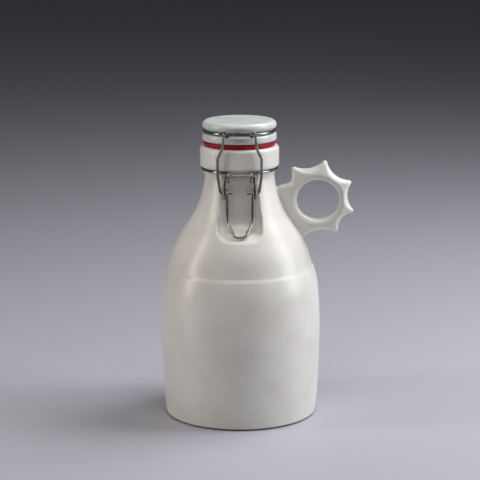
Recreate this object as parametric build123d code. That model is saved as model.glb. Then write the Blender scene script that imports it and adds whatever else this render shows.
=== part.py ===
"""Stoneware growler: a slip-cast jug with a toothed ring handle and a wire swing-top lid.

Millimetres, +Z up, origin at the centre of the foot.  The front, with the latch and the
thumb recess, faces -Y; the ring handle is on +X; the lid hinges at +Y.
"""
from build123d import *
import os
from math import cos, radians, sin, sqrt, tan

# Jug: outside
body_r = 69.2           # widest radius of the body
foot_inset = 3.7        # the foot is this much narrower than the body
seam_inset = 5.2        # the body's top edge, likewise
seam_z = 129.0          # height of the seam between body and shoulder
seam_step = 0.9         # ledge that the body's edge makes round the shoulder
neck_z = 209.0          # height of the neck's narrowest place
collar_r = 33.9
collar_rise = 8.2       # from the narrowest place up to the collar's underside
collar_height = 18.3
collar_round = 2.8      # radius of the collar's edges
collar_overhang = 3.5   # beyond the neck that the wire is wound on
neck_waist = 0.6        # the narrowest place is this much inside that
foot_round = 2.4        # how far the foot's edge is rounded in
foot_height = 3.0       # and up
body_profile = (        # (share of the seam's height, how far inside the widest radius)
    (0.19, 1.8), (0.57, 0.0), (0.83, 1.2), (0.933, 2.9),
)
shoulder_profile = (    # (share of the rise to the neck, share of the width lost on the way)
    (0.0, 1.0), (0.21, 0.85), (0.41, 0.592), (0.62, 0.27), (0.83, 0.075), (1.0, 0.0),
)

# Jug: inside
wall = 5.5
floor_z = 7.5           # height of the inside floor
floor_round = 9.0
mouth_r = 21.0          # bore of the mouth and neck
mouth_round = 2.5       # radius of the mouth's edge
bore_length = 30.0      # straight stretch of that bore

# Thumb recess behind the latch
recess_width = 34.0
recess_clearance = 0.75 # behind the lever's coils
recess_drop = 45.5      # from the neck's narrowest place down to the level of the scoop
recess_scoop_r = 16.5   # the floor turns outwards on this radius
recess_run_out = 22.0   # slope, in degrees, of the scoop's last stretch
recess_round = 5.0

# Ring handle
hub_inset = 2.0         # the hole's centre is this far inside the body's widest radius
hub_drop = 21.2         # and this far below the neck's narrowest place
hole_r = 17.5
tooth_round = 1.5
handle_thickness = 12.5
teeth = (               # (angle, reach from the hub), cut by hand, so not evenly spaced
    (146.0, 26.6),      # this one is a corner pointing in, where the arm leaves the ring
    (127.8, 37.3), (78.7, 36.4), (28.0, 34.5), (-19.3, 35.0), (-59.1, 35.4),
)
neck_root = (165.7, 41.3)       # the outline ends inside the neck here
shoulder_root = (-114.0, 40.0)  # and inside the shoulder here
hollow_reaches = (31.6, 30.4, 28.0, 25.8, 25.6, 26.6, 26.6)   # between those places, in turn

# Lid and gasket
gasket_thickness = 4.5
gasket_inset = 3.3      # inside the collar
gasket_play = 0.1       # round the boss
lid_inset = 2.1         # inside the collar
lid_flange = 6.5        # height of the lower flange
lid_flange_round = 1.6
lid_groove_depth = 3.2
lid_groove_room = 1.3   # the groove is this much wider than the wire in it
lid_cap = 7.6           # height of the upper flange
lid_cap_round = 4.1     # of the upper flange's top edge
lid_cap_under = 2.8     # and of its lower edge
lid_dome = 0.5
boss_play = 2.4         # between the boss and the mouth
boss_drop = 2.0         # reach of the boss below the gasket
boss_draft = 1.2        # taper of that reach, at its end

# Wire
wire_d = 2.3
wire_play = 0.2         # running clearance where one wire turns in another
wind_play = 0.15        # where a wire is wound round a ceramic seat
collar_play = 0.25      # between the collar's underside and the wire below it
side_play = 0.5         # between wires that pass side by side
eye_gap = 0.8           # left open where an eye's end comes back to its own wire
bend_r = 2.4            # usual bend, on the wire's centre line
ring_bend = 0.98        # bend of a ring's corners, as a share of the ring's radius
eye_bend = 0.98         # and of an eye's, as a share of half its width

# Neck wire
hinge_half = 12.5       # half the length of the hinge bar behind
hinge_reach = 3.6       # of that bar, beyond the collar
bridge_bend_r = 4.0     # where a bridge leaves the hinge bar
eye_x = 9.6             # middle of each front eye
eye_rise = 0.4          # of an eye's top, above the ring
eye_drop = 7.3          # height of a front eye's centre line

# Lever
pivot_inset = 0.9       # the pivot is this far inside the collar's radius
coil_drop = 15.5        # from the pivot to the coils
coil_inset = 1.5        # the coils are this far behind the pivot
coil_flare = 1.1        # and this much further apart than the arms
coil_room = 1.0         # room inside a coil, beyond the bail's pin
coil_bend = 0.94        # bend of a coil, as a share of its radius
coil_pitch_play = 0.7   # between the two sides of a coil
grip_kink_drop = 23.8   # from the coils down to the kink in the finger loop
grip_kink_reach = 3.8   # the kink, in front of the coils
grip_tip_drop = 34.2
grip_tip_reach = 16.1
grip_tip_half = 4.6
grip_kink_bend_r = 9.0
grip_tip_bend_r = 5.5

# Lid wire
catch_half = 10.9       # where the catch's two corners are
catch_bar_half = 8.6    # its straight bar ends here and dips to the corners
catch_reach = 2.2       # of the catch, beyond the lid
catch_rise = 0.4        # of the bar, above the ring
catch_dip = 2.1         # from the bar down to its corners
catch_bend_r = 1.6
leg_inset = 5.1         # legs down to the hinge bar, inside its ends
leg_dip = 2.0           # from the ring down to where a leg starts

# Bail
bail_top_half = 12.9
bail_kink_half = 14.8
bail_wide_half = 18.5
bail_kink_drop = 14.7   # from the crossbar
bail_wide_drop = 22.2
bail_narrow_rise = 13.9 # from the bail's pin
bail_stub = 10.3        # length of the hooked end, from the leg inwards
bail_kink_bend_r = 6.0
bail_wide_bend_r = 5.0
bail_narrow_bend_r = 12.0
bail_foot_bend_r = 1.8
pin_play = 0.1          # between the hooked end and the top of its coil
contact_angle = 72.0    # from the catch up to the crossbar, above the horizontal
contact_play = 0.3

close = 0.01            # points nearer than this are the same

# What follows from the sizes above
wire_r = wire_d / 2
wire_seat_r = collar_r - collar_overhang
neck_r = wire_seat_r - neck_waist
collar_z = neck_z + collar_rise
rim_z = collar_z + collar_height
bore_end_z = rim_z - mouth_round - bore_length
hub_x = body_r - hub_inset
hub_z = neck_z - hub_drop
gasket_r = collar_r - gasket_inset
gasket_top = rim_z + gasket_thickness
boss_r = mouth_r - boss_play
lid_r = collar_r - lid_inset
lid_groove = wire_d + lid_groove_room
lid_groove_r = lid_r - lid_groove_depth
groove_z = gasket_top + lid_flange
lid_wire_z = groove_z + lid_groove / 2
lid_top = groove_z + lid_groove + lid_cap
lid_ring_r = lid_groove_r + wind_play + wire_r
neck_ring_r = wire_seat_r + wind_play + wire_r
neck_ring_z = collar_z - collar_play - wire_r
hinge_y = collar_r + hinge_reach
eye_half = wire_d + wire_play   # an eye's centre line about its pin
eye_top_z = neck_ring_z + eye_rise
pivot_y = collar_r - pivot_inset
pivot_z = eye_top_z - eye_half
arm_x = eye_x + wire_d + side_play
coil_x = arm_x + coil_flare
coil_r = wire_d + coil_room
coil_y = pivot_y - coil_inset
coil_z = pivot_z - coil_drop
grip_x = coil_x - wire_d - coil_pitch_play
pin_z = coil_z + coil_r - wire_d - pin_play
recess_floor = coil_y - coil_r - wire_r - recess_clearance
recess_lip_z = neck_z - recess_drop
bail_foot_half = coil_x + wire_d + side_play
leg_x = hinge_half - leg_inset
catch_y = lid_r + catch_reach
catch_z = lid_wire_z + catch_rise
contact_gap = wire_d + contact_play
crossbar_y = catch_y + contact_gap * cos(radians(contact_angle))
crossbar_z = catch_z + contact_gap * sin(radians(contact_angle))


def body_points():
    """The body's outside, from the foot to the seam, as (radius, height)."""
    middle = [(body_r - lost, share * seam_z) for share, lost in body_profile]
    return [(body_r - foot_inset, foot_height)] + middle + [(body_r - seam_inset, seam_z)]


def shoulder_points():
    """The shoulder's outside, from the seam to the neck, as (radius, height)."""
    start_r = body_r - seam_inset - seam_step
    start_z = seam_z + seam_step
    return [
        (neck_r + (start_r - neck_r) * width, start_z + (neck_z - start_z) * rise)
        for rise, width in shoulder_profile
    ]


def inset(points, distance):
    """Points moved towards the axis and downwards by distance, square to their run."""
    moved = []
    for i, (r, z) in enumerate(points):
        before = points[max(i - 1, 0)]
        after = points[min(i + 1, len(points) - 1)]
        run_r, run_z = after[0] - before[0], after[1] - before[1]
        length = sqrt(run_r**2 + run_z**2)
        moved.append((r - distance * run_z / length, z + distance * run_r / length))
    return moved


def at(r, z):
    """A point of an outline in the XZ half plane."""
    return Vector(r, 0, z)


def runs(*points):
    """Straight runs through (radius, height) points."""
    places = [at(*point) for point in points]
    return [Line(*pair) for pair in zip(places, places[1:])]


def curve(points):
    """One smooth curve through (radius, height) points."""
    return Spline(*[at(*point) for point in points])


def rounded(r, z, radius, start, end):
    """A quarter round centred on (r, z), from one angle to another in degrees."""
    spots = [start, (start + end) / 2, end]
    return ThreePointArc(*[
        at(r + radius * cos(radians(a)), z + radius * sin(radians(a))) for a in spots
    ])


def turned(edges):
    """The solid that a closed outline makes round the Z axis."""
    return revolve(make_face(edges), Axis.Z)


def wire_solid(points, radii):
    """A whole bent wire from the half that starts square to the YZ plane."""
    path = Wire(FilletPolyline(*points, radius=radii).edges())
    section = Plane(origin=path @ 0, z_dir=path % 0) * Circle(wire_r)
    half = sweep(section, path)
    return half + mirror(half, Plane.YZ)


def ring_corners(radius, z, start, end, count):
    """Corners of a polygon that wraps a ring, from one angle to another in degrees."""
    step = (end - start) / count
    reach = radius / cos(radians(step / 2))
    angles = [radians(start + step * (i + 0.5)) for i in range(count)]
    return [(reach * cos(a), reach * sin(a), z) for a in angles]


def on_tangent(radius, angle, x):
    """The Y where the ring's tangent at an angle, in degrees, passes a given X."""
    a = radians(angle)
    along = (radius * cos(a) - x) / sin(a)
    return radius * sin(a) + along * cos(a)


def jug_outside():
    """The jug's outer shape, without its mouth and recess."""
    body = body_points()
    shoulder = shoulder_points()
    foot_end = body[0]
    edges = runs((0, 0), (foot_end[0] - foot_round, 0))
    edges.append(ThreePointArc(
        at(foot_end[0] - foot_round, 0),
        at(foot_end[0] - 0.3 * foot_round, 0.3 * foot_height),
        at(*foot_end)))
    edges.append(curve(body))
    edges += runs(body[-1], shoulder[0])
    edges.append(curve(shoulder))
    low = collar_z + collar_round
    high = rim_z - collar_round
    middle = collar_r - collar_round
    edges += runs(shoulder[-1], (wire_seat_r, neck_ring_z - wire_d), (wire_seat_r, collar_z),
                  (middle, collar_z))
    edges.append(rounded(middle, low, collar_round, -90, 0))
    edges += runs((collar_r, low), (collar_r, high))
    edges.append(rounded(middle, high, collar_round, 0, 90))
    edges += runs((middle, rim_z), (0, rim_z), (0, 0))
    return turned(edges)


def recess_cutter(grow):
    """The space of the thumb recess, larger by grow on every side."""
    floor_y = grow - recess_floor
    scoop_r = recess_scoop_r + grow
    centre = (floor_y - scoop_r, recess_lip_z - grow + scoop_r)
    lip = centre[1] - scoop_r
    far_y = -2 * body_r
    fall = (centre[0] - far_y) * tan(radians(recess_run_out))
    top_z = collar_z
    diagonal = scoop_r * sin(radians(45))
    side = [
        Line((0, far_y, top_z), (0, floor_y, top_z)),
        Line((0, floor_y, top_z), (0, floor_y, centre[1])),
        ThreePointArc((0, floor_y, centre[1]),
                      (0, centre[0] + diagonal, centre[1] - diagonal),
                      (0, centre[0], lip)),
        Line((0, centre[0], lip), (0, far_y, lip - fall)),
        Line((0, far_y, lip - fall), (0, far_y, top_z)),
    ]
    half = recess_width / 2 + grow
    block = extrude(make_face(side), half, both=True, dir=(1, 0, 0))
    lengthwise = block.edges().filter_by(lambda e: abs(abs(e.center().X) - half) < close)
    along_floor = lengthwise.filter_by(
        lambda e: e.center().Y > 0.7 * far_y and e.center().Z < top_z - close)
    return fillet(along_floor, recess_round + grow)


def jug_cavity():
    """The space inside the jug, kept one wall behind the thumb recess."""
    shoulder = inset(shoulder_points(), wall)[:-1]
    body = inset(body_points()[1:], wall)
    corner_z = floor_z + floor_round
    (low_r, low_z), (next_r, next_z) = body_points()[:2]
    base_r = low_r + (next_r - low_r) * (corner_z - low_z) / (next_z - low_z) - wall
    corner = (base_r - floor_round, corner_z)
    edges = runs((0, floor_z), (corner[0], floor_z))
    edges.append(rounded(*corner, floor_round, -90, 0))
    edges.append(curve([(base_r, corner[1])] + body + shoulder[1:] + [(mouth_r, bore_end_z)]))
    edges += runs((mouth_r, bore_end_z), (0, bore_end_z), (0, floor_z))
    edge_r = mouth_r + mouth_round
    above = rim_z + 1
    bore = runs((0, bore_end_z), (mouth_r, bore_end_z), (mouth_r, rim_z - mouth_round))
    bore.append(rounded(edge_r, rim_z - mouth_round, mouth_round, 180, 90))
    bore += runs((edge_r, rim_z), (edge_r, above), (0, above), (0, bore_end_z))
    return turned(edges) - recess_cutter(wall) + turned(bore)


def make_jug():
    return jug_outside() - recess_cutter(0) - jug_cavity()


def on_hub(angle, reach):
    """A point in the handle's plane, by its angle and reach from the hub."""
    a = radians(angle)
    return Vector(hub_x + reach * cos(a), 0, hub_z + reach * sin(a))


def make_gear_handle():
    """A ring with hollow-sided teeth, let into the neck and shoulder along its inner side."""
    corners = (neck_root,) + teeth + (shoulder_root,)
    tips = [on_hub(*corner) for corner in corners]
    middles = [(corners[i][0] + corners[i + 1][0]) / 2 for i in range(len(hollow_reaches))]
    hollows = [on_hub(angle, reach) for angle, reach in zip(middles, hollow_reaches)]
    edges = [ThreePointArc(*points) for points in zip(tips, hollows, tips[1:])]
    below = Vector(0, 0, tips[-1].Z)
    above = Vector(0, 0, tips[0].Z)
    edges += [Line(tips[-1], below), Line(below, above), Line(above, tips[0])]
    face = make_face(edges)
    sharp = [v for v in face.vertices() if any((Vector(v) - t).length < close for t in tips[1:-1])]
    blank = extrude(fillet(sharp, tooth_round), handle_thickness / 2, both=True, dir=(0, 1, 0))
    hole = Pos(hub_x, 0, hub_z) * Rot(90, 0, 0) * Cylinder(hole_r, 2 * handle_thickness)
    return blank - hole - jug_outside()


def make_lid():
    """A glazed puck with a groove for its wire and a boss that centres it in the mouth."""
    edges = runs((0, rim_z - boss_drop), (boss_r - boss_draft, rim_z - boss_drop),
                 (boss_r, rim_z), (boss_r, gasket_top), (lid_r - lid_flange_round, gasket_top))
    round_r = lid_r - lid_flange_round
    edges.append(rounded(round_r, gasket_top + lid_flange_round, lid_flange_round, -90, 0))
    edges += runs((lid_r, gasket_top + lid_flange_round), (lid_r, groove_z - lid_flange_round))
    edges.append(rounded(round_r, groove_z - lid_flange_round, lid_flange_round, 0, 90))
    cap_z = groove_z + lid_groove
    edges += runs((round_r, groove_z), (lid_groove_r, groove_z), (lid_groove_r, cap_z),
                  (lid_r - lid_cap_under, cap_z))
    edges.append(rounded(lid_r - lid_cap_under, cap_z + lid_cap_under, lid_cap_under, -90, 0))
    crown_z = lid_top - lid_dome
    edges += runs((lid_r, cap_z + lid_cap_under), (lid_r, crown_z - lid_cap_round))
    edges.append(rounded(lid_r - lid_cap_round, crown_z - lid_cap_round, lid_cap_round, 0, 90))
    edges += runs((lid_r - lid_cap_round, crown_z), (0, lid_top), (0, rim_z - boss_drop))
    return turned(edges)


def make_gasket():
    """A rubber ring on the boss, between the lid and the rim."""
    inner = boss_r + gasket_play
    ring = extrude(Circle(gasket_r) - Circle(inner), gasket_thickness)
    return Pos(0, 0, rim_z) * ring


def make_neck_wire():
    """The hinge bar, bridges to a ring round the neck, and an eye at each front end."""
    leave, arrive, corners = 55, -62, 5
    z = neck_ring_z
    ring = ring_corners(neck_ring_r, z, leave, arrive, corners)
    eye_back, eye_front = -pivot_y + eye_half, -pivot_y - eye_half
    points = [
        (0, hinge_y, z),
        (hinge_half, hinge_y, z),
        (hinge_half, on_tangent(neck_ring_r, leave, hinge_half), z),
        *ring,
        (eye_x, on_tangent(neck_ring_r, arrive, eye_x), eye_top_z),
        (eye_x, eye_front, eye_top_z),
        (eye_x, eye_front, eye_top_z - eye_drop),
        (eye_x, eye_back, eye_top_z - eye_drop),
        (eye_x, eye_back, eye_top_z - wire_r - eye_gap),
    ]
    round_ring = [ring_bend * neck_ring_r] * corners
    round_eye = [eye_bend * eye_half] * 3
    return wire_solid(points, [bend_r, bridge_bend_r] + round_ring + [bend_r] + round_eye)


def make_lever():
    """The bar in the eyes, an arm, one coil and a side of the finger loop, mirrored."""
    front, back = -coil_y - coil_r, -coil_y + coil_r
    low, high = coil_z - coil_r, coil_z + coil_r
    pitch = (coil_x - grip_x) / 4
    points = [
        (0, -pivot_y, pivot_z),
        (arm_x, -pivot_y, pivot_z),
        (coil_x, front, low),
        (coil_x - pitch, back, low),
        (coil_x - 2 * pitch, back, high),
        (coil_x - 3.6 * pitch, front, high),
        (grip_x, -coil_y - grip_kink_reach, coil_z - grip_kink_drop),
        (grip_tip_half, -coil_y - grip_tip_reach, coil_z - grip_tip_drop),
        (0, -coil_y - grip_tip_reach, coil_z - grip_tip_drop),
    ]
    round_coil = [coil_bend * coil_r] * 4
    return wire_solid(points, [bend_r] + round_coil + [grip_kink_bend_r, grip_tip_bend_r])


def make_bail():
    """The crossbar over the catch, and legs that hook into the lever's coils."""
    lean = (crossbar_y - coil_y) / (crossbar_z - pin_z)

    def leg(x, z):
        return (x, -(coil_y + lean * (z - pin_z)), z)

    points = [
        (0, -crossbar_y, crossbar_z),
        leg(bail_top_half, crossbar_z),
        leg(bail_kink_half, crossbar_z - bail_kink_drop),
        leg(bail_wide_half, crossbar_z - bail_wide_drop),
        leg(bail_wide_half, pin_z + bail_narrow_rise),
        (bail_foot_half, -coil_y, pin_z),
        (bail_foot_half - bail_stub, -coil_y, pin_z),
    ]
    return wire_solid(points, [
        bend_r, bail_kink_bend_r, bail_wide_bend_r, bail_narrow_bend_r, bail_foot_bend_r,
    ])


def make_lid_wire():
    """A catch in front, a ring in the lid's groove, and legs with eyes on the hinge bar."""
    leave, arrive, corners = -64, 72, 6
    z = lid_wire_z
    ring = ring_corners(lid_ring_r, z, leave, arrive, corners)
    leg_y = hinge_y - eye_half
    eye_low, eye_high = neck_ring_z - eye_half, neck_ring_z + eye_half
    points = [
        (0, -catch_y, catch_z),
        (catch_bar_half, -catch_y, catch_z),
        (catch_half, -catch_y, catch_z - catch_dip),
        (catch_half, on_tangent(lid_ring_r, leave, catch_half), z),
        *ring,
        (leg_x, on_tangent(lid_ring_r, arrive, leg_x), z),
        (leg_x, leg_y, z - leg_dip),
        (leg_x, leg_y, eye_low),
        (leg_x, hinge_y + eye_half, eye_low),
        (leg_x, hinge_y + eye_half, eye_high),
        (leg_x, leg_y + wire_r + eye_gap, eye_high),
    ]
    round_catch = [catch_bend_r, catch_bend_r, bend_r]
    round_ring = [ring_bend * lid_ring_r] * corners
    round_eye = [eye_bend * eye_half] * 3
    return wire_solid(points, round_catch + round_ring + [bend_r, bend_r] + round_eye)


makers = {
    "jug": make_jug,
    "gear_handle": make_gear_handle,
    "lid": make_lid,
    "gasket": make_gasket,
    "lid_wire": make_lid_wire,
    "neck_wire": make_neck_wire,
    "bail": make_bail,
    "lever": make_lever,
}

os.makedirs("parts", exist_ok=True)
for name, make in makers.items():
    shape = make()
    shape.label = name
    export_step(shape, f"parts/{name}.step")
    print(f"{name}: {shape.volume / 1000:.1f} cm3")
print(f"capacity to the rim: {jug_cavity().volume / 1e6:.2f} litres")
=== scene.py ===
"""Stoneware growler: glazed jug with a toothed ring handle and a wire swing-top lid."""
from math import atan2, cos, degrees, hypot, pi, radians, sin, sqrt, tan

import bmesh
import bpy
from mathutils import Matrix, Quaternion, Vector


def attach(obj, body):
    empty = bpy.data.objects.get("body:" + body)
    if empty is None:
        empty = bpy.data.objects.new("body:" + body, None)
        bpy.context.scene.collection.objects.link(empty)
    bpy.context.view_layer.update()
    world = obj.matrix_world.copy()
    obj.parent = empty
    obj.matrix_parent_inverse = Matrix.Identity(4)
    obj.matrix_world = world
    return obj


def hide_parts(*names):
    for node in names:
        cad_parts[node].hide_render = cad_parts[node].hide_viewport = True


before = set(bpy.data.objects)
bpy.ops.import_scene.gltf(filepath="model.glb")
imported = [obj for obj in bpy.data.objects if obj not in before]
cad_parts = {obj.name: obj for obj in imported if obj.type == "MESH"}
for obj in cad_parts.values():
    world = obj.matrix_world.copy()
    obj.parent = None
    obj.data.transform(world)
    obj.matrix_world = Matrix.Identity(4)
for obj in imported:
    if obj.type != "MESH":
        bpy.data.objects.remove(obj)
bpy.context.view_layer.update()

MM = 0.001              # sizes below are in millimetres, as in the CAD model

# Jug: outside
BODY_R = 69.2
# Up the body: (share of the seam's height, how far inside BODY_R).
BODY_PROFILE = ((0.19, 1.8), (0.57, 0.0), (0.83, 1.2), (0.933, 2.9))
FOOT_R = 65.5
FOOT_ROUND = 3.0
FOOT_HEIGHT = 2.8
SEAM_Z = 129.0
SEAM_R = 64.0
SEAM_STEP = 1.3
SEAM_DIP = 1.5          # the shoulder starts this much inside the body's edge
# Up the shoulder: (share of its rise, share of its width that is left).
SHOULDER_PROFILE = ((0.0, 1.0), (0.21, 0.85), (0.41, 0.592), (0.62, 0.27), (0.83, 0.075),
                    (1.0, 0.0))
NECK_R = 29.8
NECK_Z = 209.0
WIRE_SEAT_R = 30.4
COLLAR_R = 33.9
COLLAR_Z = 217.2
COLLAR_ROUND = 2.8
RIM_Z = 235.5

# Jug: inside
WALL = 5.5
FLOOR_Z = 7.5
FLOOR_ROUND = 9.0
CORNER_FLARE = 1.4      # the wall leans out this much between the foot and the floor's corner
MOUTH_R = 21.0
MOUTH_ROUND = 2.5
BORE_END_Z = 203.0

# Rows of points along the jug's flat and straight stretches, which keep its faces near square
FOOT_RINGS = (0.0, 15.0, 30.0, 45.0, 58.0)
SEAT_ROWS = (213.5, 214.6, 215.8, 216.9)
COLLAR_ROWS = (223.0, 226.5, 230.0)
RIM_RINGS = (29.0, 26.5, 24.0)
BORE_ROWS = (229.0, 222.0, 215.0, 209.0)
FLOOR_RINGS = (35.0, 18.0, 0.0)
JUG_STEPS = 288
FRONT_CROWDING = 0.55   # the front has finer faces than the back, for the recess

# Thumb recess
RECESS_HALF = 17.0
RECESS_FLOOR = 26.3
RECESS_ROUND = 5.0
RECESS_TURN = 0.93      # share of the corner's radius after which the side runs straight
RECESS_FLARE = 2.6      # slope of the straight sides
SCOOP_R = 16.5
LIP_Z = 163.5
RUN_OUT = tan(radians(22))
LIP_SOFTNESS = 2.4      # how widely glaze rounds the recess's edge
BULGE_SOFTNESS = 4.0    # the same for the recess's back, inside the jug
# The stretch of the neck's front that the recess may reach.
RECESS_BACK_Y = -10.0
RECESS_REACH_X = 27.0
RECESS_LOW_Z = 145.0

# Ring handle
HUB = Vector((67.2, 0.0, 187.8))
HOLE_HALF_X = 18.1      # the hole is a little wider than it is high
HOLE_HALF_Z = 17.4
HANDLE_HALF = 6.25
# The outline, clockwise from the arm's root: (angle in degrees, distance from the hub) of its
# root, its inward corner, its five teeth and its lower root, then how far from the hub the
# hollow between each two of them is.
TEETH = ((165.7, 41.3), (146.0, 26.6), (127.8, 37.3), (78.7, 36.4), (28.0, 34.5), (-19.3, 35.0),
         (-59.1, 35.4), (-114.0, 40.0))
HOLLOWS = (31.6, 30.4, 28.0, 25.8, 25.6, 26.6, 26.6)
TOOTH_ROUND = 3.0       # degrees over which a tooth's point is worn round
ARM_ANGLE = 137.0       # past this angle the outline is the arm's
ARM_ROUND = 7.5         # degrees over which the arm's inward corner is worn round
FAR_REACH = 60.0        # farther from the hub than any of the handle
LEAST_RIM = 4.0         # the rim is thicker than this all round
BURIAL = 4.0            # the handle ends this deep in the shoulder's wall
HOLE_WALL_HALF = 2.4    # straight part of the hole's wall, each side of the middle
ROLL = 5.0              # the hole's edge is rolled over this width
FACE_SLOPE = 0.36       # the faces fall away outwards from there
NOSE = 5.0              # the outer edge is rolled over this width
FILLET_R = 2.2          # slip smoothed into the corner where the handle was luted on
RING_STEPS = 480
RING_START_R = 10.0     # radius of the ring before it takes the handle's shape

# Lid and gasket
GASKET_R = 30.6
GASKET_TOP = 240.0
LID_R = 31.8
GROOVE_Z = 246.5
GROOVE_R = 28.6
GROOVE_W = 3.6
GROOVE_ROUND = 0.8
FLANGE_ROUND = 1.8
CROWN_UNDER_ROUND = 3.0
CROWN_EDGE = (4.3, 4.15)    # the crown's worn edge, across and up
LID_TOP = 257.7
# The crown is a little domed: (distance from the middle, how far below LID_TOP).
CROWN_DOME = ((26.0, 0.36), (21.0, 0.2), (14.0, 0.08), (7.0, 0.02), (0.0, 0.0))
CROWN_EDGE_DROP = 0.35
BOSS_R = 18.6
BOSS_Z = 233.5
BOSS_ROUND = 1.2
BOSS_TAPER = 0.3        # the boss is this much slimmer at its tip
BOSS_TAPER_Z = 236.5    # and straight above this height
GASKET_PLAY = 0.1
GASKET_ROUND = 1.0
GASKET_CHAMFER = 0.4
GASKET_LEAN = 0.1       # the ring's edges lie this much inside its parting line
# The moulding's parting line round the gasket: (how far inside GASKET_R, height).
PARTING_LINE = ((0.02, 237.5), (0.0, 237.65), (0.0, 237.85), (0.02, 238.0))
LID_STEPS = 192
GASKET_STEPS = 160

# Wires
FACET_MERGE = 0.002     # how near the CAD mesh's corners are when they are one
SHARP_TURN = radians(50)    # a wire's cut end keeps its edge


def linear(code):
    """A linear RGBA colour from an sRGB hex code."""
    parts = [int(code[i:i + 2], 16) / 255 for i in (1, 3, 5)]
    return tuple(c / 12.92 if c <= 0.04045 else ((c + 0.055) / 1.055) ** 2.4 for c in parts) + (1.0,)


def add_node(tree, kind, settings=None, links=None, **inputs):
    """A shader node with its settings, its input values and its incoming links."""
    node = tree.nodes.new(kind)
    for key, value in (settings or {}).items():
        setattr(node, key, value)
    for key, value in inputs.items():
        node.inputs[key.replace("_", " ")].default_value = value
    for key, socket in (links or {}).items():
        tree.links.new(socket, node.inputs[key])
    return node


def new_material(name):
    """An empty node material and its tree, shader and object coordinates."""
    material = bpy.data.materials.new(name)
    material.use_nodes = True
    tree = material.node_tree
    tree.nodes.clear()
    shader = tree.nodes.new("ShaderNodeBsdfPrincipled")
    output = tree.nodes.new("ShaderNodeOutputMaterial")
    tree.links.new(shader.outputs["BSDF"], output.inputs["Surface"])
    coordinates = tree.nodes.new("ShaderNodeTexCoord")
    return material, tree, shader, coordinates.outputs["Object"]


def ramp(tree, factor, stops):
    """A colour ramp through (position, colour) stops."""
    node = add_node(tree, "ShaderNodeValToRGB", links={"Fac": factor})
    elements = node.color_ramp.elements
    while len(elements) < len(stops):
        elements.new(0.5)
    for element, (position, colour) in zip(elements, stops):
        element.position = position
        element.color = colour
    return node.outputs["Color"]


def glaze(name, thick, thin, roughness):
    """Clear gloss glaze over stoneware: even colour, faint mottling, a slightly wavy skin."""
    material, tree, shader, place = new_material(name)
    mottle = add_node(tree, "ShaderNodeTexNoise", links={"Vector": place},
                      Scale=1 / (28 * MM), Detail=3.0, Roughness=0.55)
    colour = ramp(tree, mottle.outputs["Fac"], [(0.35, linear(thin)), (0.62, linear(thick))])
    # The glaze is wiped off the last 1.5 mm of the foot, which shows the rough clay. That band is
    # coloured darker than the clay's own tone, as painted shade for the contact shadow under the
    # foot.
    height = add_node(tree, "ShaderNodeSeparateXYZ", links={"Vector": place}).outputs["Z"]
    wiped_and_shaded = add_node(tree, "ShaderNodeMapRange", links={"Value": height},
                     From_Min=1.2 * MM, From_Max=1.8 * MM, To_Min=1.0, To_Max=0.0)
    bare_and_shaded_foot = wiped_and_shaded.outputs["Result"]
    # Painted shade: the bare foot's dark colour is partly the clay and partly the contact shadow
    # where the foot meets the floor.
    clay_and_contact_shade = add_node(tree, "ShaderNodeMixRGB", links={"Fac": bare_and_shaded_foot, "Color1": colour},
                    Color2=linear("#74665A"))
    tree.links.new(clay_and_contact_shade.outputs["Color"], shader.inputs["Base Color"])
    skin = add_node(tree, "ShaderNodeMapRange", links={"Value": bare_and_shaded_foot}, To_Min=roughness, To_Max=0.8)
    tree.links.new(skin.outputs["Result"], shader.inputs["Roughness"])
    # Glaze pools and thins over tens of millimetres, and has a finer orange peel.
    pools = add_node(tree, "ShaderNodeTexNoise", links={"Vector": place},
                     Scale=1 / (22 * MM), Detail=1.0, Roughness=0.4)
    peel = add_node(tree, "ShaderNodeTexNoise", links={"Vector": place},
                    Scale=1 / (2.5 * MM), Detail=2.0, Roughness=0.5)
    wide = add_node(tree, "ShaderNodeBump", links={"Height": pools.outputs["Fac"]},
                    Strength=0.25, Distance=0.6 * MM)
    fine = add_node(tree, "ShaderNodeBump",
                    links={"Height": peel.outputs["Fac"], "Normal": wide.outputs["Normal"]},
                    Strength=0.12, Distance=0.05 * MM)
    tree.links.new(fine.outputs["Normal"], shader.inputs["Normal"])
    shader.inputs["IOR"].default_value = 1.52
    return material


def moulded_rubber(name, colour, bloom):
    """Moulded silicone rubber: saturated, satin, with a dusty bloom in its pores."""
    material, tree, shader, place = new_material(name)
    grain = add_node(tree, "ShaderNodeTexNoise", links={"Vector": place},
                     Scale=1 / (0.8 * MM), Detail=4.0, Roughness=0.6)
    shade = ramp(tree, grain.outputs["Fac"], [(0.3, linear(colour)), (0.8, linear(bloom))])
    tree.links.new(shade, shader.inputs["Base Color"])
    bump = add_node(tree, "ShaderNodeBump", links={"Height": grain.outputs["Fac"]},
                    Strength=0.3, Distance=0.06 * MM)
    tree.links.new(bump.outputs["Normal"], shader.inputs["Normal"])
    shader.inputs["Roughness"].default_value = 0.48
    shader.inputs["IOR"].default_value = 1.43
    shader.inputs["Specular IOR Level"].default_value = 0.25
    return material


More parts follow.
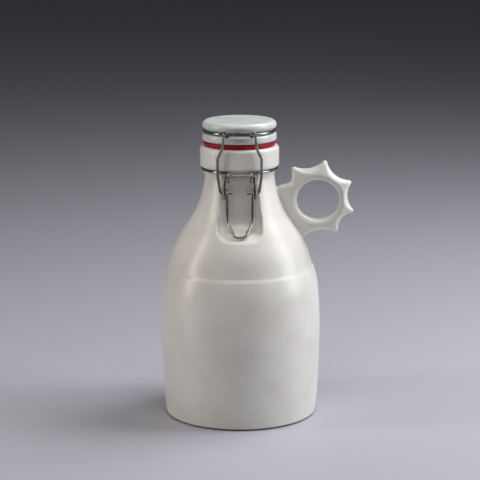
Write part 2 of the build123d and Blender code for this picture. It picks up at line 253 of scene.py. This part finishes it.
def drawn_stainless(name, dull, bright):
    """Drawn stainless wire: bright, with fine die scratches and duller rubbed patches."""
    material, tree, shader, place = new_material(name)
    patches = add_node(tree, "ShaderNodeTexNoise", links={"Vector": place},
                       Scale=1 / (4.0 * MM), Detail=3.0, Roughness=0.6)
    colour = ramp(tree, patches.outputs["Fac"], [(0.35, linear(dull)), (0.65, linear(bright))])
    tree.links.new(colour, shader.inputs["Base Color"])
    dulled = add_node(tree, "ShaderNodeMapRange", links={"Value": patches.outputs["Fac"]},
                      To_Min=0.10, To_Max=0.22)
    tree.links.new(dulled.outputs["Result"], shader.inputs["Roughness"])
    scratches = add_node(tree, "ShaderNodeTexNoise", links={"Vector": place},
                         Scale=1 / (0.5 * MM), Detail=2.0, Roughness=0.5)
    bump = add_node(tree, "ShaderNodeBump", links={"Height": scratches.outputs["Fac"]},
                    Strength=0.2, Distance=0.02 * MM)
    tree.links.new(bump.outputs["Normal"], shader.inputs["Normal"])
    shader.inputs["Metallic"].default_value = 1.0
    return material


def flow(points, step):
    """Points about a step apart on a smooth (cubic Hermite) curve through the given ones."""
    ends = [points[0]] + list(points) + [points[-1]]
    out = []
    for i in range(1, len(ends) - 2):
        before, a, b, after = (Vector(p) for p in ends[i - 1:i + 3])
        count = max(1, round((b - a).length / step))
        start = (b - before) / 2
        finish = (after - a) / 2
        if i == 1:
            start = b - a
        if i == len(ends) - 3:
            finish = b - a
        for k in range(count):
            t = k / count
            out.append(a * (2 * t**3 - 3 * t**2 + 1) + start * (t**3 - 2 * t**2 + t)
                       + b * (3 * t**2 - 2 * t**3) + finish * (t**3 - t**2))
    out.append(Vector(points[-1]))
    return [tuple(p) for p in out]


def quarter(r, z, radius, start, end, steps=6):
    """Points of an arc centred on (r, z), from one angle to another in degrees."""
    angles = [radians(start + (end - start) * i / steps) for i in range(steps + 1)]
    return [(r + radius * cos(a), z + radius * sin(a)) for a in angles]


def turned(outline, steps):
    """A bmesh of an outline of (radius, height) points spun round the Z axis, in millimetres."""
    mesh = bmesh.new()
    verts = [mesh.verts.new((0.0, -r, z)) for r, z in outline]
    edges = [mesh.edges.new(pair) for pair in zip(verts, verts[1:])]
    bmesh.ops.spin(mesh, geom=verts + edges, cent=(0, 0, 0), axis=(0, 0, 1), dvec=(0, 0, 0),
                   angle=2 * pi, steps=steps, use_merge=True, use_duplicate=False)
    bmesh.ops.remove_doubles(mesh, verts=mesh.verts, dist=0.001)
    return mesh


def piece(mesh, name, material, body, nodes):
    """A finished object from a bmesh in millimetres, on its body and in its slot."""
    bmesh.ops.scale(mesh, vec=(MM, MM, MM), verts=mesh.verts)
    bmesh.ops.recalc_face_normals(mesh, faces=mesh.faces)
    data = bpy.data.meshes.new(name)
    mesh.to_mesh(data)
    mesh.free()
    data.shade_smooth()
    data.materials.append(material)
    made = bpy.data.objects.new(name, data)
    bpy.context.scene.collection.objects.link(made)
    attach(made, body)
    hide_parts(*nodes)
    return made


def body_outline():
    """The body from the foot to the seam."""
    middle = [(BODY_R - inwards, rise * SEAM_Z) for rise, inwards in BODY_PROFILE]
    return [(FOOT_R, FOOT_HEIGHT)] + middle + [(SEAM_R, SEAM_Z)]


def shoulder_outline():
    """The shoulder from the seam to the neck."""
    start_r, start_z = SEAM_R - SEAM_DIP, SEAM_Z + SEAM_STEP
    return [(NECK_R + (start_r - NECK_R) * width, start_z + (NECK_Z - start_z) * rise)
            for rise, width in SHOULDER_PROFILE]


def inset(points, distance):
    """Points moved towards the axis and downwards by distance, square to their run."""
    moved = []
    for i, (r, z) in enumerate(points):
        before = points[max(i - 1, 0)]
        after = points[min(i + 1, len(points) - 1)]
        run_r, run_z = after[0] - before[0], after[1] - before[1]
        length = hypot(run_r, run_z)
        moved.append((r - distance * run_z / length, z + distance * run_r / length))
    return moved


def outside_outline():
    """The jug's outside from the foot's centre up to the inner edge of the rim."""
    body = flow(body_outline(), 2.0)
    shoulder = flow(shoulder_outline(), 1.1)
    foot = [(r, 0.0) for r in FOOT_RINGS]
    foot += [(FOOT_R - FOOT_ROUND * (1 - cos(radians(a))), FOOT_HEIGHT * (1 + sin(radians(a))))
             for a in range(-90, 0, 10)]
    middle = COLLAR_R - COLLAR_ROUND
    neck = [(WIRE_SEAT_R, z) for z in SEAT_ROWS]
    collar = [(WIRE_SEAT_R + 0.1, COLLAR_Z)]
    collar += quarter(middle, COLLAR_Z + COLLAR_ROUND, COLLAR_ROUND, -90, 0, 8)
    collar += [(COLLAR_R, z) for z in COLLAR_ROWS]
    collar += quarter(middle, RIM_Z - COLLAR_ROUND, COLLAR_ROUND, 0, 90, 8)
    rim = [(r, RIM_Z) for r in RIM_RINGS]
    mouth = quarter(MOUTH_R + MOUTH_ROUND, RIM_Z - MOUTH_ROUND, MOUTH_ROUND, 90, 180)
    return foot + body + shoulder + neck + collar + rim + mouth


def inside_outline():
    """The jug's inside from below the mouth down to the floor's centre."""
    shoulder = inset(shoulder_outline(), WALL)[:-1]
    corner_z = FLOOR_Z + FLOOR_ROUND
    body = inset(body_outline()[1:], WALL)
    low = (FOOT_R + CORNER_FLARE - WALL, corner_z)
    curve = flow([low] + body + shoulder[1:] + [(MOUTH_R, BORE_END_Z)], 3.0)
    corner = quarter(low[0] - FLOOR_ROUND, corner_z, FLOOR_ROUND, -90, 0)
    bore = [(MOUTH_R, z) for z in BORE_ROWS]
    floor = [(r, FLOOR_Z) for r in FLOOR_RINGS]
    return bore + (corner[:-1] + curve)[::-1] + floor


# Made once, because the recess and the handle ask for the outside's radius at every point.
OUTSIDE = outside_outline()


def outside_radius(z):
    """The jug's outer radius at a height between the foot and the collar."""
    for (low_r, low_z), (high_r, high_z) in zip(OUTSIDE, OUTSIDE[1:]):
        if low_z <= z <= high_z and high_z > low_z:
            return low_r + (high_r - low_r) * (z - low_z) / (high_z - low_z)
    return WIRE_SEAT_R


def recess_depth(x, z, grow):
    """The Y of the recess's floor and sides at a point of the front, moved out by grow."""
    floor = grow - RECESS_FLOOR
    scoop_r = SCOOP_R + grow
    centre_y = floor - scoop_r
    centre_z = LIP_Z - grow + scoop_r
    if z > centre_z:
        y = floor
    elif z > LIP_Z - grow + 0.001:
        y = centre_y + sqrt(scoop_r**2 - (centre_z - z) ** 2)
        slope_z = centre_z - scoop_r * cos(atan2(RUN_OUT, 1))
        if z < slope_z:
            y = min(y, centre_y - (LIP_Z - grow - z) / RUN_OUT)
    else:
        y = centre_y - (LIP_Z - grow - z) / RUN_OUT
    corner = RECESS_ROUND + grow
    across = abs(x) - (RECESS_HALF + grow - corner)
    if across > 0:
        turn = min(across, RECESS_TURN * corner)
        y -= corner - sqrt(corner**2 - turn**2) + RECESS_FLARE * (across - turn)
    return y


def soft_max(a, b, width):
    """The larger of two values, rounded over where they cross."""
    overlap = max(width - abs(a - b), 0) / width
    return max(a, b) + overlap**2 * width / 4


def make_jug(material):
    """One closed skin: outside, rim, bore and inside, with the thumb recess pressed in."""
    mesh = turned(OUTSIDE + inside_outline(), JUG_STEPS)
    for vert in mesh.verts:
        r = hypot(vert.co.x, vert.co.y)
        turn = atan2(vert.co.x, -vert.co.y)
        turn -= FRONT_CROWDING * sin(turn)
        vert.co.x, vert.co.y = r * sin(turn), -r * cos(turn)
    for vert in mesh.verts:
        x, y, z = vert.co
        if y > RECESS_BACK_Y or abs(x) > RECESS_REACH_X or not RECESS_LOW_Z < z < COLLAR_Z - 0.01:
            continue
        if hypot(x, y) > outside_radius(z) - WALL / 2:
            vert.co.y = soft_max(y, recess_depth(x, z, 0), LIP_SOFTNESS)
        else:
            vert.co.y = soft_max(y, recess_depth(x, z, WALL), BULGE_SOFTNESS)
    return piece(mesh, "stoneware_jug", material, "jug", ["jug"])


def polar(reach, angle):
    """A point of the handle's plane by its distance and angle in degrees from the hub."""
    return Vector((reach * cos(radians(angle)), reach * sin(radians(angle))))


def arc_reach(a, b, c, angle):
    """How far from the origin a ray at an angle meets the arc through three points."""
    d = 2 * (a.x * (b.y - c.y) + b.x * (c.y - a.y) + c.x * (a.y - b.y))
    aa, bb, cc = (point.length_squared for point in (a, b, c))
    centre = Vector(((aa * (b.y - c.y) + bb * (c.y - a.y) + cc * (a.y - b.y)) / d,
                     (aa * (c.x - b.x) + bb * (a.x - c.x) + cc * (b.x - a.x)) / d))
    radius = (a - centre).length
    along = polar(1.0, angle).dot(centre)
    return along - sqrt(max(radius**2 - centre.length_squared + along**2, 0.0))


def scallop_reach(angle):
    """The handle's hollow-sided outline, as a distance from the hub; beyond it at the root."""
    for i, hollow in enumerate(HOLLOWS):
        (high, high_reach), (low, low_reach) = TEETH[i], TEETH[i + 1]
        if low <= angle <= high:
            return arc_reach(polar(high_reach, high), polar(hollow, (high + low) / 2),
                             polar(low_reach, low), angle)
    return FAR_REACH


def buried_reach(angle):
    """How far from the hub a ray runs to end inside the shoulder's wall."""
    reach = HOLE_HALF_X + LEAST_RIM
    while reach < FAR_REACH:
        x, z = polar(reach, angle)
        if HUB.x + x < outside_radius(HUB.z + z) - BURIAL:
            break
        reach += 0.1
    return reach


def outline_reach(angle):
    """The outline with its teeth worn round, by averaging it over a few degrees."""
    spread = TOOTH_ROUND if angle < ARM_ANGLE else ARM_ROUND
    spots = [angle + spread * share for share in (-1.0, -0.6, -0.2, 0.2, 0.6, 1.0)]
    lowest = TEETH[-1][0]
    wrapped = [(spot - lowest) % 360.0 + lowest for spot in spots]
    return sum(min(scallop_reach(spot), buried_reach(spot)) for spot in wrapped) / len(spots)


def hole_reach(angle):
    """The hole's edge, as a distance from the hub."""
    a = radians(angle)
    return 1 / hypot(cos(a) / HOLE_HALF_X, sin(a) / HOLE_HALF_Z)


def handle_section(hole, outline):
    """Half a section, from the middle of the hole's wall to the outer edge: (reach, half width)."""
    room = outline - hole
    roll, nose = min(ROLL, 0.5 * room), min(NOSE, 0.48 * room)
    flat = room - roll - nose
    rise = HANDLE_HALF - HOLE_WALL_HALF
    points = [(hole, HOLE_WALL_HALF * share) for share in (0.0, 0.5, 1.0)]
    points += [(hole + roll * (1 - cos(radians(a))), HOLE_WALL_HALF + rise * sin(radians(a)))
               for a in (18, 30, 42, 54, 66, 78, 90)]
    points += [(hole + roll + flat * k / 9, HANDLE_HALF) for k in range(1, 10)]
    points += [(outline - nose * (1 - sin(radians(a))), HANDLE_HALF * cos(radians(a)))
               for a in (10, 20, 30, 40, 50, 60, 70, 78, 84, 90)]
    crest = hole + roll
    return [(reach, half * (1 - FACE_SLOPE * max(0.0, reach - crest) / HANDLE_HALF))
            for reach, half in points]


def make_handle(material):
    """A thick ring whose faces fall away to hollow-sided teeth, smoothed into the shoulder."""
    half_count = len(handle_section(HOLE_HALF_X, FAR_REACH)) - 1
    mesh = bmesh.new()
    section = bmesh.ops.create_circle(mesh, segments=2 * half_count, radius=1.0)["verts"]
    for vert in section:
        vert.co = Vector((vert.co.x + RING_START_R, vert.co.y, 0.0))
    geometry = section + list({e for v in section for e in v.link_edges})
    bmesh.ops.spin(mesh, geom=geometry, cent=(0, 0, 0), axis=(0, 1, 0), dvec=(0, 0, 0),
                   angle=2 * pi, steps=RING_STEPS, use_merge=True, use_duplicate=False)
    bmesh.ops.remove_doubles(mesh, verts=mesh.verts, dist=0.0001)
    sections = {}
    for vert in mesh.verts:
        angle = round(degrees(atan2(-vert.co.z, vert.co.x)), 2)
        if angle not in sections:
            sections[angle] = handle_section(hole_reach(angle), outline_reach(angle))
        across, depth = hypot(vert.co.x, vert.co.z) - RING_START_R, vert.co.y
        step = round(half_count * atan2(abs(depth), -across) / pi)
        reach, half = sections[angle][step]
        x, z = polar(reach, angle)
        vert.co = HUB + Vector((x, half if depth > 0 else -half, z))
    bmesh.ops.recalc_face_normals(mesh, faces=mesh.faces)
    mesh.normal_update()
    # The corner with the shoulder is filled: near it, the skin moves out along the shoulder.
    moves = []
    for vert in mesh.verts:
        r = hypot(vert.co.x, vert.co.y)
        slope = (outside_radius(vert.co.z + 1) - outside_radius(vert.co.z - 1)) / 2
        surface = Vector((vert.co.x / r, vert.co.y / r, -slope)).normalized()
        gap = (r - outside_radius(vert.co.z)) / sqrt(1 + slope**2)
        if gap < FILLET_R:
            near = FILLET_R - max(gap, 0.0)
            outward = vert.normal - surface * vert.normal.dot(surface)
            if outward.length > 0.3:
                push = FILLET_R - sqrt(FILLET_R**2 - near**2)
                moves.append((vert, outward.normalized() * push * min(1.0, 2 * outward.length)))
    for vert, move in moves:
        vert.co += move
    return piece(mesh, "toothed_ring_handle", material, "jug", ["gear_handle"])


def make_lid(material):
    """The glazed puck: flat crown, round edge, wire groove, lower flange and boss."""
    cap_z = GROOVE_Z + GROOVE_W
    flange_r, groove_r = LID_R - FLANGE_ROUND, GROOVE_R + GROOVE_ROUND
    outline = [(0.0, BOSS_Z), (BOSS_R / 2, BOSS_Z)]
    outline += quarter(BOSS_R - BOSS_TAPER - BOSS_ROUND, BOSS_Z + BOSS_ROUND, BOSS_ROUND, -90, 0, 4)
    outline += [(BOSS_R, BOSS_TAPER_Z), (BOSS_R, GASKET_TOP),
                ((BOSS_R + flange_r) / 2, GASKET_TOP)]
    outline += quarter(flange_r, GASKET_TOP + FLANGE_ROUND, FLANGE_ROUND, -90, 0, 8)
    outline += [(LID_R, (GASKET_TOP + GROOVE_Z) / 2)]
    outline += quarter(flange_r, GROOVE_Z - FLANGE_ROUND, FLANGE_ROUND, 0, 90, 8)
    outline += quarter(groove_r, GROOVE_Z + GROOVE_ROUND, GROOVE_ROUND, -90, -180, 4)
    outline += quarter(groove_r, cap_z - GROOVE_ROUND, GROOVE_ROUND, 180, 90, 4)
    outline += quarter(LID_R - CROWN_UNDER_ROUND, cap_z + CROWN_UNDER_ROUND, CROWN_UNDER_ROUND,
                       -90, 0, 10)
    across, up = CROWN_EDGE
    edge_z = LID_TOP - CROWN_EDGE_DROP - up
    outline += [(LID_R - across + across * cos(radians(a)), edge_z + up * sin(radians(a)))
                for a in range(6, 90, 6)]
    outline += [(r, LID_TOP - drop) for r, drop in CROWN_DOME]
    return piece(turned(outline, LID_STEPS), "ceramic_lid", material, "lid", ["lid"])


def make_gasket(material):
    """A moulded ring, squeezed a little proud between lid and rim, with its parting line."""
    inner, outer = BOSS_R + GASKET_PLAY, GASKET_R - GASKET_LEAN - GASKET_ROUND
    middle = (inner + outer) / 2
    low, high = RIM_Z, GASKET_TOP
    outline = [(inner, low + GASKET_CHAMFER), (inner + GASKET_CHAMFER, low), (middle, low)]
    outline += quarter(outer, low + GASKET_ROUND, GASKET_ROUND, -90, -10, 6)
    outline += [(GASKET_R - inwards, z) for inwards, z in PARTING_LINE]
    outline += quarter(outer, high - GASKET_ROUND, GASKET_ROUND, 10, 90, 6)
    outline += [(middle, high), (inner + GASKET_CHAMFER, high), (inner, high - GASKET_CHAMFER),
                (inner, low + GASKET_CHAMFER)]
    mesh = turned(outline, GASKET_STEPS)
    return piece(mesh, "red_gasket", material, "lid", ["gasket"])


def make_wire(node, body, material):
    """A wire as the CAD model bends it, with its facets merged into a smooth round."""
    mesh = bmesh.new()
    mesh.from_mesh(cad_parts[node].data)
    bmesh.ops.remove_doubles(mesh, verts=mesh.verts, dist=FACET_MERGE * MM)
    bmesh.ops.scale(mesh, vec=(1 / MM,) * 3, verts=mesh.verts)
    for edge in mesh.edges:
        edge.smooth = edge.calc_face_angle(0.0) < SHARP_TURN
    return piece(mesh, "bright_" + node, material, body, [node])


def area_light(name, place, aim, width, height, power, tint):
    """A soft box at a place, turned to its aim, in metres and watts."""
    light = bpy.data.lights.new(name, "AREA")
    light.shape = "RECTANGLE"
    light.size = width
    light.size_y = height
    light.energy = power
    light.color = linear(tint)[:3]
    made = bpy.data.objects.new(name, light)
    made.location = place
    made.rotation_euler = (Vector(aim) - Vector(place)).to_track_quat("-Z", "Y").to_euler()
    bpy.context.scene.collection.objects.link(made)


def plain_floor(half_width, colour):
    """A flat floor in one matt colour."""
    mesh = bmesh.new()
    bmesh.ops.create_grid(mesh, x_segments=1, y_segments=1, size=half_width)
    data = bpy.data.meshes.new("pale_floor")
    mesh.to_mesh(data)
    mesh.free()
    material, _, shader, _ = new_material("pale_floor_paper")
    shader.inputs["Base Color"].default_value = linear(colour)
    shader.inputs["Roughness"].default_value = 0.6
    data.materials.append(material)
    made = bpy.data.objects.new("pale_floor", data)
    bpy.context.scene.collection.objects.link(made)


def studio():
    """A pale floor under a dim room, with soft boxes to the right, left, top and front."""
    plain_floor(8.0, "#B5B4BD")
    middle = (0, 0, 0.13)
    area_light("right_box", (1.05, -0.08, 0.50), middle, 0.50, 0.95, 6.6, "#F8F9FF")
    area_light("left_box", (-1.04, -0.18, 0.50), middle, 0.18, 0.95, 4.2, "#FFF8F0")
    area_light("top_box", (0.70, 0.25, 1.15), middle, 0.9, 0.7, 11.8, "#FBFBFF")
    area_light("high_fill", (0.0, -0.55, 1.50), middle, 1.0, 0.7, 7.5, "#FFFCF8")
    world = bpy.data.worlds.new("studio")
    world.use_nodes = True
    background = world.node_tree.nodes["Background"]
    background.inputs["Color"].default_value = linear("#B9B9C0")
    background.inputs["Strength"].default_value = 0.09
    bpy.context.scene.world = world
    bpy.context.scene.view_settings.view_transform = "Standard"


def front_camera():
    """A long lens in front of the jug, a little above it and tilted a hair."""
    distance, pitch, roll = 1.616, radians(12.0), radians(-0.3)
    target = Vector((0.0, 0.0, 0.1521))
    camera = bpy.data.cameras.new("camera")
    camera.sensor_width = 36
    camera.lens = 140
    made = bpy.data.objects.new("camera", camera)
    back = Vector((0, -cos(pitch), sin(pitch)))
    made.location = target + back * distance
    made.rotation_euler = (Quaternion(back, roll) @ (-back).to_track_quat("-Z", "Y")).to_euler()
    bpy.context.scene.collection.objects.link(made)
    bpy.context.scene.camera = made


jug_glaze = glaze("clear_gloss_glaze_on_stoneware", "#E8E6DE", "#E0DDD4", 0.29)
lid_glaze = glaze("cool_white_gloss_glaze", "#DCE1DF", "#CAD1CE", 0.24)
red_rubber = moulded_rubber("red_silicone_rubber", "#9A0E1C", "#A21825")
stainless = drawn_stainless("drawn_stainless_wire", "#757371", "#979592")

make_jug(jug_glaze)
make_handle(jug_glaze)
make_lid(lid_glaze)
make_gasket(red_rubber)
make_wire("lid_wire", "lid", stainless)
make_wire("neck_wire", "jug", stainless)
make_wire("bail", "bail", stainless)
make_wire("lever", "lever", stainless)

studio()
front_camera()
